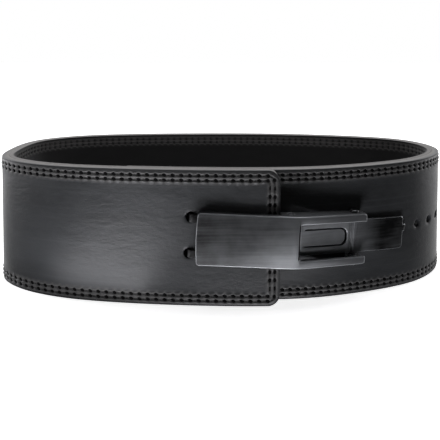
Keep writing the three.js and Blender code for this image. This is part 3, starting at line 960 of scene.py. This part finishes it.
def steel_finish(name, low, high, rough, streak, darkest_at, lightening):
    """Satin black coating over brushed steel, with light painted in: lighter along x from its darkest
    place to its lightest, for how the light falls along it.
    """
    p = finish(name)
    place = p.object_place()
    brushed = p.noise(p.stretched(place, (14.0, 60.0, streak)), 1.0, detail=6.0, roughness=0.7)
    hair = p.noise(p.stretched(place, (30.0, 300.0, 3200.0)), 1.0, detail=3.0, roughness=0.6)
    speckle = p.noise(place, 3000.0, detail=3.0, roughness=0.6)
    cloud = p.noise(place, 45.0, detail=4.0, roughness=0.6)
    # painted light: lighter along x where more light falls
    painted_light = p.spread(p.along_x(place), darkest_at, lightening, 0.8)
    tone_and_painted_light = (brushed - 0.5) * 0.75 + (cloud - 0.5) * 0.7 + painted_light + 0.1
    p.coat(Base_Color=p.mixed(tone_and_painted_light.clamped(), grey(low, -0.04), grey(high, -0.04)))
    p.coat(Roughness=(rough + (brushed - 0.5) * 0.22 + (cloud - 0.5) * 0.1).clamped())
    p.coat(Metallic=0.55, Specular_IOR_Level=0.5)
    p.coat(Normal=p.bump(hair + speckle * 0.6, 0.16, 0.08 * MM))
    return p.owner


leather = leather_finish()
suede = lining_finish()
waxed_thread = thread_finish()
pit_dark = painted_shade_pit_finish()
# painted light: the handle darker at its tip and lighter towards its arms
lever_steel = steel_finish("satin_black_steel", 0.012, 0.16, 0.38, 420.0, HANDLE_LEFT, HANDLE_PAINTED_LIT)
# painted shade: the plate darker towards its right end
plate_steel = steel_finish("satin_plate_steel", 0.006, 0.22, 0.36, 420.0, PLATE_PAINTED_SHADE, PLATE_PAINTED_LIT)
# worn bare edges that also carry a painted highlight, with the handle's painted light
worn_highlit_steel = steel_finish("worn_steel_edge", 0.13, 0.36, 0.34, 420.0, HANDLE_LEFT, HANDLE_PAINTED_LIT)
fastener_steel = steel_finish("blacked_fastener_steel", 0.02, 0.05, 0.34, 300.0, 0.0, 1.0)
# painted shade: the hook link's steel made near black for the lever tip's shadow
hook_steel = steel_finish("shaded_hook_steel", 0.004, 0.012, 0.4, 300.0, 0.0, 1.0)


def dress(piece, coating):
    """Gives a piece its finish, with worn edges that also carry a painted highlight where it has them,
    and its body.
    """
    coatings = piece.data.materials
    if len(coatings) == 2:
        coatings[0] = coating
        coatings[1] = worn_highlit_steel
    else:
        coatings.clear()
        coatings.append(coating)
    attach(piece, "root")


dress(outer, leather)
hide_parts("outer_leather")
dress(lining, suede)
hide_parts("lining_leather")
dress(threads_out, waxed_thread)
dress(threads_in, waxed_thread)
dress(painted_shade_pits, pit_dark)
dress(lever, lever_steel)
dress(plate, plate_steel)
dress(link, hook_steel)
for piece in (pin, *rivets, *screws):
    dress(piece, fastener_steel)


# Floor
FLOOR_HALF_SIZE = 6.0
FLOOR_GLOW = 0.8


def make_floor():
    """A lit white table: light from below shines through it, and it doesn't light the belt itself."""
    build = bmesh.new()
    bmesh.ops.create_grid(build, x_segments=1, y_segments=1, size=FLOOR_HALF_SIZE)
    floor = new_piece("studio_floor", build, smooth=False)
    p = finish("white_studio_floor")
    tone = p.noise(p.object_place(), 3.0, detail=2.0, roughness=0.5)
    p.coat(Base_Color=p.mixed(tone, grey(0.93), grey(0.95)), Roughness=0.8, Specular_IOR_Level=0.1)
    p.coat(Emission_Color=grey(1.0), Emission_Strength=FLOOR_GLOW)
    floor.data.materials.append(p.owner)
    floor.visible_glossy = False
    floor.visible_shadow = False
    floor.visible_diffuse = False


make_floor()


# Camera, fitted to the photo's rims, flap end, holes and sides
FRAME_PIXELS = 440
FOCAL_PIXELS = 538.9
HORIZON_SHIFT_PIXELS = -150.5
SENSOR = 36.0
CAMERA_PLACE = (-4.4 * MM, -467.9 * MM, 188.1 * MM)
CAMERA_PITCH = math.radians(2.25)


def make_camera():
    """The photo's camera, above the floor and looking a little down."""
    data = bpy.data.cameras.new("photo_camera")
    data.sensor_width = SENSOR
    data.lens = FOCAL_PIXELS * SENSOR / FRAME_PIXELS
    data.shift_y = HORIZON_SHIFT_PIXELS / FRAME_PIXELS
    camera = bpy.data.objects.new("photo_camera", data)
    camera.location = CAMERA_PLACE
    camera.rotation_euler = (math.pi / 2 - CAMERA_PITCH, 0, 0)
    bpy.context.scene.collection.objects.link(camera)
    bpy.context.scene.camera = camera


make_camera()


# Light, in metres and watts
STUDIO_TINT = (0.975, 0.965, 1.0)
TABLE_CLEARANCE = 4 * MM
SOFTBOXES = (
    # name, place, aim, width, height, power
    ("overhead", (0.0, 0.25, 1.3), (0, 0, 0), 1.2, 0.9, 9.6),
    ("left_grazing", (-0.75, -0.17, 0.08), (0.0, -0.09, 0.06), 0.12, 0.2, 0.5),
    ("stand_left", (-0.75, -0.45, 0.10), (-0.06, -0.05, 0.06), 0.3, 0.22, 0.3),
    ("under_front", (0.06, -0.44, -0.42), (0.03, -0.09, 0.05), 0.30, 0.2, 2.7),
    ("side_left", (-0.9, 0.25, 0.2), (-0.15, 0, 0.05), 0.3, 0.4, 3.7),
    ("side_right", (0.9, 0.25, 0.2), (0.15, 0, 0.05), 0.3, 0.4, 2.0),
)
TABLE_PANELS = (
    # name, x, y, width, depth, power
    ("table_left", -0.115, -0.16, 0.10, 0.14, 0.24),
    ("table_right", 0.085, -0.13, 0.08, 0.06, 0.022),
)


def softbox(name, place, aim, width, height, power):
    """An evenly lit rectangle that faces its aim and that the camera doesn't see."""
    data = bpy.data.lights.new(name, "AREA")
    data.shape = "RECTANGLE"
    data.size = width
    data.size_y = height
    data.energy = power
    data.color = STUDIO_TINT
    box = bpy.data.objects.new(name, data)
    box.location = place
    box.rotation_euler = (Vector(aim) - Vector(place)).to_track_quat("-Z", "Y").to_euler()
    box.visible_camera = False
    bpy.context.scene.collection.objects.link(box)


def table_panel(name, x, y, width, depth, power):
    """A softbox lying on the table, shining up."""
    softbox(name, (x, y, TABLE_CLEARANCE), (x, y + MM, 0.6), width, depth, power)


for values in SOFTBOXES:
    softbox(*values)
for values in TABLE_PANELS:
    table_panel(*values)


# World
FRONT_GLOW = 0.04
BACK_GLOW = 1.35
GLOW_START = -0.1
GLOW_FULL = 0.8


def make_world():
    """Bright behind the belt and dim in front, and plain white where the camera looks past it."""
    p = Painter(bpy.data.worlds.new("studio"))
    p.nodes.remove(p.nodes["Background"])
    direction = p.node("ShaderNodeTexCoord", {}, {})[0]
    behind = p.node("ShaderNodeSeparateXYZ", {}, {0: direction})[1]
    smooth = {"interpolation_type": "SMOOTHSTEP"}
    stretch = {0: behind, 1: GLOW_START, 2: GLOW_FULL, 3: FRONT_GLOW, 4: BACK_GLOW}
    glow = p.node("ShaderNodeMapRange", smooth, stretch)[0]
    sky = p.node("ShaderNodeBackground", {}, {"Color": grey(1.0), "Strength": glow})[0]
    backdrop = p.node("ShaderNodeBackground", {}, {"Color": grey(1.0), "Strength": 1.0})[0]
    seen = p.node("ShaderNodeLightPath", {}, {})[0]
    pick = p.node("ShaderNodeMixShader", {}, {0: seen, 1: sky, 2: backdrop})[0]
    p.put(p.nodes["World Output"].inputs["Surface"], pick)
    bpy.context.scene.world = p.owner


make_world()
bpy.context.scene.view_settings.view_transform = "Standard"
